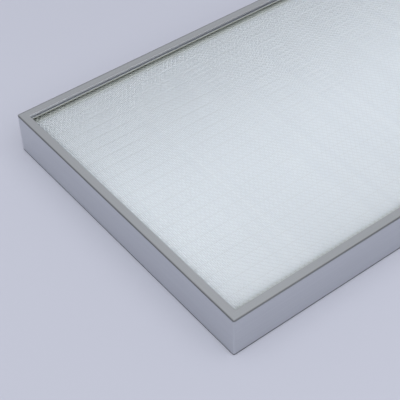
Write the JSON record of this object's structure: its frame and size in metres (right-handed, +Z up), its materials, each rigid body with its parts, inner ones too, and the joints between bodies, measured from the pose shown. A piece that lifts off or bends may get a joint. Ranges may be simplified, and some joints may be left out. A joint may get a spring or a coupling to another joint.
{
  "type": "cleanroom air filter panel",
  "caption": "Flat rectangular high-efficiency air filter panel: a pleated media pack sealed into a mitred aluminium channel frame behind fine net face guards.",
  "frame": {"origin": "middle of the underside, where the lower lips of the frame rest", "axes": "+X along the long side, +Y along the short side, +Z up through the thickness"},
  "size_m": [1.22, 0.61, 0.08],
  "materials": {
    "frame_aluminium": "satin anodised",
    "bracket_steel": "zinc plated",
    "sealant": "cast",
    "filter_paper": "matt fibre",
    "hot_melt": "satin",
    "guard_coating": "white powder coat"
  },
  "bodies": {
    "root": {"rail_front": "frame_aluminium", "rail_right": "frame_aluminium", "rail_back": "frame_aluminium", "rail_left": "frame_aluminium", "sealant_front": "sealant", "sealant_right": "sealant", "sealant_back": "sealant", "sealant_left": "sealant", "corner_bracket_top_front_left": "bracket_steel", "corner_bracket_top_front_right": "bracket_steel", "corner_bracket_top_back_right": "bracket_steel", "corner_bracket_top_back_left": "bracket_steel", "corner_bracket_bottom_front_left": "bracket_steel", "corner_bracket_bottom_front_right": "bracket_steel", "corner_bracket_bottom_back_right": "bracket_steel", "corner_bracket_bottom_back_left": "bracket_steel", "media_pack": "filter_paper", "separator_beads_top": "hot_melt", "separator_beads_bottom": "hot_melt", "face_guard_top": "guard_coating", "face_guard_bottom": "guard_coating"}
  },
  "joints": []
}
